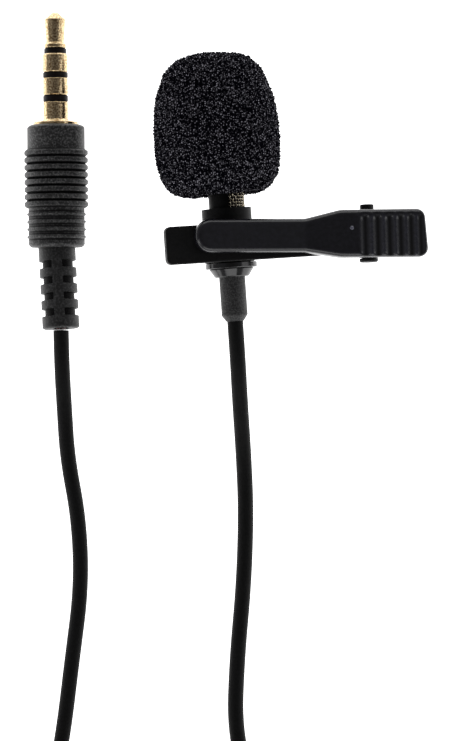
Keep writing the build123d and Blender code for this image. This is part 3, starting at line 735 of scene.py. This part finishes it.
def woven_mesh():
    """Plain weave in the barrel's window: hoops and uprights pass over and under.

    A dark lining behind the weave closes the view into the barrel: painted shade for its inside.
    """
    rows = int((WINDOW_HIGH - WINDOW_LOW) / WEAVE_PITCH)
    across = math.radians(WINDOW_TO - WINDOW_FROM) * WEAVE_R
    columns = int(across / WEAVE_PITCH)
    bm = bmesh.new()

    def at(column, row, sign):
        angle = math.radians(WINDOW_FROM) + (column + 0.5) * (across / columns) / WEAVE_R
        bulge = sign * WEAVE_CRIMP * math.cos(math.pi * column) * math.cos(math.pi * row)
        y = WINDOW_LOW + (row + 0.5) * (WINDOW_HIGH - WINDOW_LOW) / rows
        return MIC @ (around(WEAVE_R + bulge, angle, y) * MM)

    for row in range(rows):
        line = [at(-0.5 + k * 0.25, row, 1) for k in range(columns * 4 + 1)]
        wire(bm, line, WIRE_R * MM)
    for column in range(columns):
        line = [at(column, -0.5 + k * 0.25, -1) for k in range(rows * 4 + 1)]
        wire(bm, line, WIRE_R * MM)
    wires = len(bm.faces)
    span = WINDOW_TO - WINDOW_FROM
    spokes = [math.radians(WINDOW_FROM + span * k / BACK_STEPS) for k in range(BACK_STEPS + 1)]
    low, high = (
        [bm.verts.new(MIC @ (around(BACK_R, angle, y) * MM)) for angle in spokes]
        for y in (WINDOW_LOW, WINDOW_HIGH)
    )
    for k in range(BACK_STEPS):
        bm.faces.new((low[k], low[k + 1], high[k + 1], high[k]))
    mesh = bpy.data.meshes.new("side_mesh_wires")
    bm.to_mesh(mesh)
    bm.free()
    smooth(mesh, 80)
    shown("side_mesh_wires", mesh, "microphone", "side_mesh", MESH_WIRE)
    mesh.materials.append(PAINTED_SHADE_LINING)
    for face in mesh.polygons[wires:]:
        face.material_index = 1


# ---------------------------------------------------------------- cable tie

TIE_HALF_WIDTH = 1.6
TIE_LOOP = (-110.7, 4.82)
TIE_HALF_LOOP = (5.85, 4.6)
TIE_SQUARENESS = 9.0
TIE_STEPS = 96
BAND_HALF_THICK = 0.09
BAND_CORE = 0.12
BAND_EDGE = 0.02
TWIST_START = -116.3
TWIST_HEIGHT = 1.3
TWIST_LENGTH = 6.2
TWIST_PITCH = 2.8
TWIST_SPREAD = 0.3
TWIST_STEPS = 60
STRAND_R = 0.3


def tie_section(out):
    """Points round the flat band's section; a wire core makes it thicker in the middle."""
    points = []
    for side in (1, -1):
        for k in range(13):
            x = TIE_HALF_WIDTH * (1 - k / 6) * side
            thick = BAND_HALF_THICK + BAND_CORE * math.exp(-((x / 0.4) ** 2))
            if abs(x) > TIE_HALF_WIDTH - 0.05:
                thick = BAND_EDGE
            points.append(Vector((x, 0, 0)) + out * thick * side)
    return points


def cable_tie():
    """Twist tie: a flat band round one side of the coil, with its ends twisted together."""
    power = 2 / TIE_SQUARENESS
    loop = []
    for k in range(TIE_STEPS):
        angle = 2 * math.pi * k / TIE_STEPS
        c, s = math.cos(angle), math.sin(angle)
        y = TIE_LOOP[0] + TIE_HALF_LOOP[0] * math.copysign(abs(c) ** power, c)
        z = TIE_LOOP[1] + TIE_HALF_LOOP[1] * math.copysign(abs(s) ** power, s)
        loop.append(Vector((0, y, z)))
    rows = []
    for k, here in enumerate(loop):
        ahead = (loop[(k + 1) % TIE_STEPS] - loop[k - 1]).normalized()
        out = ahead.cross(Vector((1, 0, 0)))
        centre = Vector((COIL_CENTRE[0] / MM, here.y, here.z))
        rows.append([(centre + point) * MM for point in tie_section(out)])
    mesh = grid_mesh("cable_tie_twisted", rows, close_along=True)
    bm = bmesh.new()
    bm.from_mesh(mesh)
    for phase in (0, math.pi):
        strand = []
        for k in range(TWIST_STEPS + 1):
            run = TWIST_LENGTH * k / TWIST_STEPS
            angle = 2 * math.pi * run / TWIST_PITCH + phase
            spread = TWIST_SPREAD + 0.12 * max(0.0, run - 5.4)
            strand.append(Vector((
                COIL_CENTRE[0] / MM + spread * math.cos(angle),
                TWIST_START - run,
                TWIST_HEIGHT + spread * math.sin(angle),
            )) * MM)
        wire(bm, strand, STRAND_R * MM, 8)
    bmesh.ops.recalc_face_normals(bm, faces=bm.faces)
    bm.to_mesh(mesh)
    bm.free()
    smooth(mesh, 60)
    shown("cable_tie_twisted", mesh, "microphone", "cable_tie", TIE)


# -------------------------------------------------------------------- lever

LEVER_VOXEL = 0.075
RELAX_ROUNDS = 34
FACE_RELAX_ROUNDS = 56
GRIP_FACE = (-2.6, 6.6)
GRIP_FACE_HALF = 2.7
GRIP_FACE_LOW = 1.9
PIP_AT = (-2.85, 0.75)
PIP_R = 0.27
PIP_HEIGHT = 0.15
# How much lighter the pip is painted, as a painted highlight.
PIP_PAINTED_HIGHLIGHT = 16.0
WAVE_FIRST = -1.05
WAVE_PITCH = 1.72
WAVE_CLOSING = 0.048
WAVE_COUNT = 6
WAVE_HEIGHT = 0.02
# How much the crests are lightened as painted highlight, and the grooves darkened as painted shade.
CREST_PAINTED_HIGHLIGHT = 1.8
GROOVE_PAINTED_SHADE = 0.9
WAVE_TOP = 2.1
WAVE_FADE = 0.6
WAVE_LOW = 1.2


def baked(piece, name):
    """The piece's mesh with its modifiers applied; the piece itself is removed."""
    graph = bpy.context.evaluated_depsgraph_get()
    mesh = bpy.data.meshes.new_from_object(piece.evaluated_get(graph))
    mesh.name = name
    bpy.data.objects.remove(piece)
    return mesh


def wave(at):
    """Height of the grip's ribs at a point, from -1 in a groove to 1 on a crest."""
    inside = WAVE_PITCH**2 - 4 * WAVE_CLOSING * (at.x - WAVE_FIRST)
    if inside < 0:
        return 0.0
    step = (WAVE_PITCH - math.sqrt(inside)) / (2 * WAVE_CLOSING)
    ends = clamped(2 * (step + 0.5)) * clamped(2 * (WAVE_COUNT - 0.5 - step))
    across = clamped((WAVE_TOP + WAVE_FADE - at.y) / WAVE_FADE)
    return -math.cos(2 * math.pi * step) * ends * across


def on_face(at):
    """How much a point belongs to the thumb grip's face, from 0 to 1."""
    if at.z <= GRIP_FACE_LOW:
        return 0.0
    along = min(at.x - GRIP_FACE[0], GRIP_FACE[1] - at.x)
    return clamped(along / 0.6) * clamped((GRIP_FACE_HALF + 0.5 - abs(at.y)) / 0.5)


def lever_skin():
    """A fine skin over the lever's form, relaxed so that its edges look moulded.

    The thumb grip's face is relaxed further, which turns its grooves into waves.
    """
    form = frame["nodes"]["clip_lever"]
    mesh = form.data.copy()
    mesh.transform(form.matrix_world)
    piece = bpy.data.objects.new("lever_form", mesh)
    bpy.context.scene.collection.objects.link(piece)
    skin = piece.modifiers.new("skin", "REMESH")
    skin.mode = "VOXEL"
    skin.voxel_size = LEVER_VOXEL * MM
    skin.use_smooth_shade = True
    mesh = baked(piece, "lever_skin")
    piece = bpy.data.objects.new("lever_skin", mesh)
    bpy.context.scene.collection.objects.link(piece)
    face = piece.vertex_groups.new(name="face")
    to_lever = LEVER.inverted()
    for vertex in mesh.vertices:
        weight = on_face((to_lever @ vertex.co) / MM)
        if weight > 0:
            face.add([vertex.index], weight, "REPLACE")
    for name, rounds, group in (("relax", RELAX_ROUNDS, ""), ("relax_face", FACE_RELAX_ROUNDS, "face")):
        relax = piece.modifiers.new(name, "SMOOTH")
        relax.factor = 0.5
        relax.iterations = rounds
        relax.vertex_group = group
    return baked(piece, "clip_lever_moulded")


def lever():
    """The lever, with painted highlights on its rib crests and its small moulding pip, and painted shade
    in its grooves.
    """
    mesh = lever_skin()
    to_lever = LEVER.inverted()
    outward = (LEVER.to_3x3() @ Vector((0, 0, 1))).normalized()
    lifts = []
    painted_light_and_shade = mesh.attributes.new("painted_light_and_shade", "FLOAT", "POINT")
    for vertex in mesh.vertices:
        at = (to_lever @ vertex.co) / MM
        upward = vertex.normal.dot(outward)
        painted_light_and_shade.data[vertex.index].value = 1.0
        if at.z > WAVE_LOW and upward > 0:
            rib = wave(at)
            lifts.append((vertex.index, outward * WAVE_HEIGHT * MM * upward * rib))
            # Painted highlight on the crests and painted shade in the grooves.
            painted_light_and_shade.data[vertex.index].value = 1 + (CREST_PAINTED_HIGHLIGHT if rib > 0 else GROOVE_PAINTED_SHADE) * rib
        from_pip = math.hypot(at.x - PIP_AT[0], at.y - PIP_AT[1]) / PIP_R
        if at.z > GRIP_FACE_LOW and from_pip < 1:
            vertex.co += outward * PIP_HEIGHT * MM * (1 - from_pip**2)
            # The pip is painted many times lighter, as a painted highlight.
            painted_light_and_shade.data[vertex.index].value = PIP_PAINTED_HIGHLIGHT
    for index, lift in lifts:
        mesh.vertices[index].co += lift
    shown("clip_lever_moulded", mesh, "lever", "clip_lever", LEVER_PLASTIC)


# ------------------------------------------------------------------- spring

SPRING_R = 1.3
SPRING_WIRE_R = 0.2
SPRING_PITCH = 0.46
SPRING_START = 107.5
SPRING_TURNS = 3.358
SPRING_LEG = 5.0
SPRING_AT = 0.12
COIL_STEPS = 120
LEG_STEPS = 12


def torsion_spring():
    """Wire coil round the pin; one leg goes with the jaw's handle, the other with the lever's."""
    half = SPRING_PITCH * SPRING_TURNS / 2

    def on_coil(turns):
        angle = math.radians(SPRING_START + 360 * turns)
        y = SPRING_AT + half - SPRING_PITCH * turns
        return Vector((SPRING_R * math.cos(angle), y, SPRING_R * math.sin(angle)))

    coil = [on_coil(SPRING_TURNS * k / COIL_STEPS) for k in range(COIL_STEPS + 1)]
    first = (coil[0] - coil[1]).normalized()
    last = (coil[-1] - coil[-2]).normalized()
    upper_leg = [coil[0] + first * SPRING_LEG * (1 - k / LEG_STEPS) for k in range(LEG_STEPS)]
    lower_leg = [coil[-1] + last * SPRING_LEG * (k + 1) / LEG_STEPS for k in range(LEG_STEPS)]
    line = [PIN @ (point * MM) for point in upper_leg + coil + lower_leg]
    bm = bmesh.new()
    wire(bm, line, SPRING_WIRE_R * MM, 10)
    mesh = bpy.data.meshes.new("torsion_spring_wire")
    bm.to_mesh(mesh)
    bm.free()
    smooth(mesh, 60)
    spring = shown("torsion_spring_wire", mesh, None, "torsion_spring", SPRING_STEEL)
    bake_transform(spring)


# ------------------------------------------------------------ plug contacts

# Outlines of the plated contacts: radius, distance below the nose, corner radius.
TIP_OUTLINE = [
    (0.02, 0.0, 0),
    (0.34, -0.01, 0.1),
    (0.55, -0.14, 0.1),
    (1.47, -0.95, 0.12),
    (1.27, -4.16, 0.05),
    (1.4, -4.28, 0.03),
    (1.55, -4.46, 0.04),
    (1.55, -4.86, 0.04),
    (1.36, -5.05, 0.03),
    (0.8, -5.07, 0),
]
SLEEVE_OUTLINE = [
    (1.52, -12.35, 0),
    (1.6, -12.35, 0.02),
    (1.75, -12.52, 0.04),
    (1.75, -14.85, 0.08),
    (2.0, -15.16, 0.06),
    (3.02, -15.2, 0.04),
    (3.16, -15.3, 0.04),
    (3.16, -15.62, 0.03),
    (2.9, -15.65, 0),
]


def ring_outline(start, end):
    """A ring contact with bright bevels at both ends."""
    return [
        (1.3, -start, 0),
        (1.6, -start, 0.02),
        (1.75, -start - 0.17, 0.04),
        (1.75, -end + 0.22, 0.04),
        (1.56, -end, 0.02),
        (1.3, -end, 0),
    ]


def plug_contacts():
    """The four plated contacts, turned from their outlines."""
    outlines = {
        "plug_tip": TIP_OUTLINE,
        "plug_ring_1": ring_outline(5.75, 8.4),
        "plug_ring_2": ring_outline(9.02, 11.6),
        "plug_sleeve": SLEEVE_OUTLINE,
    }
    for name, outline in outlines.items():
        mesh = lathe(name + "_plated", rounded(outline), PLUG, 128)
        shown(name + "_plated", mesh, "microphone", name, PLATED)


# --------------------------------------------------------- plug grip and tail

GRIP_SPAN = 16.99
GRIP_DROP = 15.65
GRIP_BORES = ((0.0, 3.05), (-GRIP_SPAN, 2.0))
MOULD_STEP = 0.055
COLLAR_LOW = -3.35
RIBS_LOW = -11.526
RIB_PITCH = 1.022
RIDGE_FIRST = -12.4
RIDGE_PITCH = 1.05
TAIL_R = 2.57
TAIL_CORE = 2.1
TAIL_NECK = 1.95
TAIL_RING = 1.28
TAIL_GAP = 0.95
TAIL_LENGTH = 11.34
TAIL_WEB = 0.8
TAIL_BORE = 1.12


def moulded(name, place, heights, radius_at, segments):
    """A turned body whose radius varies with angle and height, closed at both ends.

    radius_at gives the radius and the relief: 1 on the outer surface and 0 in a groove.
    """
    rows = []
    relief = []
    for y in heights:
        row = []
        for j in range(segments):
            angle = 2 * math.pi * j / segments
            radius, level = radius_at(angle, y)
            row.append(place @ (around(radius, angle, y) * MM))
            relief.append(level)
        rows.append(row)
    mesh = grid_mesh(name, rows)
    # The relief also darkens the rubber in its grooves, as painted shade in its material.
    layer = mesh.attributes.new("relief", "FLOAT", "POINT")
    layer.data.foreach_set("value", relief)
    smooth(mesh, 60)
    return mesh


def steps_between(low, high, step):
    """Evenly spread heights from low to high, about a step apart."""
    count = max(1, round((high - low) / step))
    return [low + (high - low) * k / count for k in range(count + 1)]


def eased(value):
    """A smooth rise from 0 to 1 while the value goes from 0 to 1."""
    value = clamped(value)
    return value * value * (3 - 2 * value)


def grip_radius(y):
    """Radius and relief of the grip at y millimetres from its upper end face."""
    if y > COLLAR_LOW:
        rim = max(0.0, y + 0.42)
        return 4.0 - 0.5 * (rim / 0.42) ** 2, 1.0
    if y > RIBS_LOW:
        within = ((COLLAR_LOW - y) / RIB_PITCH) % 1.0
        crown = math.sin(math.pi * within)
        height = min(1.0, crown * 1.2) ** 0.75
        # The relief falls between the ribs, where the material paints shade.
        return 4.0 + 0.43 * height, eased(height * 1.7 - 0.75)
    low_end = max(0.0, -GRIP_SPAN + 0.5 - y)
    radius = 3.9 - 0.45 * (low_end / 0.5) ** 2
    level = 1.0
    for count in range(4):
        near = abs(y - (RIDGE_FIRST - RIDGE_PITCH * count))
        radius += 0.22 * eased(1 - near / 0.26)
        # The relief dips beside each ridge, where the material paints shade.
        level = min(level, eased(abs(near - 0.38) / 0.24))
    return radius, min(1.0, level)


def end_face(mesh, middle, reach, bore):
    """A flat ring that closes the open end within reach of middle, down to its bore."""
    bm = bmesh.new()
    bm.from_mesh(mesh)
    rim = [e for e in bm.edges if e.is_boundary and (e.verts[0].co - middle).length < reach * MM]
    for made in bmesh.ops.extrude_edge_only(bm, edges=rim)["geom"]:
        if isinstance(made, bmesh.types.BMVert):
            made.co = middle + (made.co - middle).normalized() * bore * MM
    bm.to_mesh(mesh)
    bm.free()


def plug_grip():
    """Overmoulded grip: collar, eight round ribs and a lower part with four fine ridges."""
    heights = steps_between(-GRIP_SPAN, 0.0, MOULD_STEP)
    place = PLUG @ move(0, -GRIP_DROP, 0)
    mesh = moulded("plug_grip_rubber", place, heights, lambda angle, y: grip_radius(y), 160)
    for y, bore in GRIP_BORES:
        end_face(mesh, place @ (Vector((0, y, 0)) * MM), 4.5, bore)
    shown("plug_grip_rubber", mesh, "microphone", "plug_grip", GRIP_RUBBER)


def tail_radius(angle, y):
    """Radius and relief of the segmented tail at y millimetres from the grip."""
    down = -y - TAIL_NECK
    pitch = TAIL_GAP + TAIL_RING
    in_ring = 1.0
    if 0 < down < 4 * pitch - TAIL_RING:
        within = down % pitch
        middle = abs(within - TAIL_GAP / 2)
        in_ring = eased((middle - TAIL_GAP / 2 + 0.09) / 0.16)
    web = eased((TAIL_WEB + 0.06 - abs(math.sin(angle)) * TAIL_R) / 0.14)
    solid = max(in_ring, web)
    bevel = max(0.0, -TAIL_LENGTH + 0.25 - y) / 0.25
    # The relief falls in the slots, where the material paints shade.
    return TAIL_CORE + (TAIL_R - TAIL_CORE) * solid - 0.25 * bevel**2, eased(solid * 1.6 - 0.6)


def plug_tail():
    """Flexible tail: rings joined by webs in front and behind, with deep slots between."""
    heights = steps_between(-TAIL_LENGTH, 0.3, MOULD_STEP)
    mesh = moulded("plug_tail_rubber", TAIL, heights, tail_radius, 200)
    end_face(mesh, TAIL @ (Vector((0, -TAIL_LENGTH, 0)) * MM), 3.0, TAIL_BORE)
    shown("plug_tail_rubber", mesh, "microphone", "plug_strain_relief", TAIL_RUBBER)


# --------------------------------------------------------------------- main


def build():
    studio()
    dress_nodes()
    made_cord = cord()
    foam()
    woven_mesh()
    lever()
    torsion_spring()
    plug_contacts()
    cable_tie()
    plug_grip()
    plug_tail()


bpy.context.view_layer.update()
build()
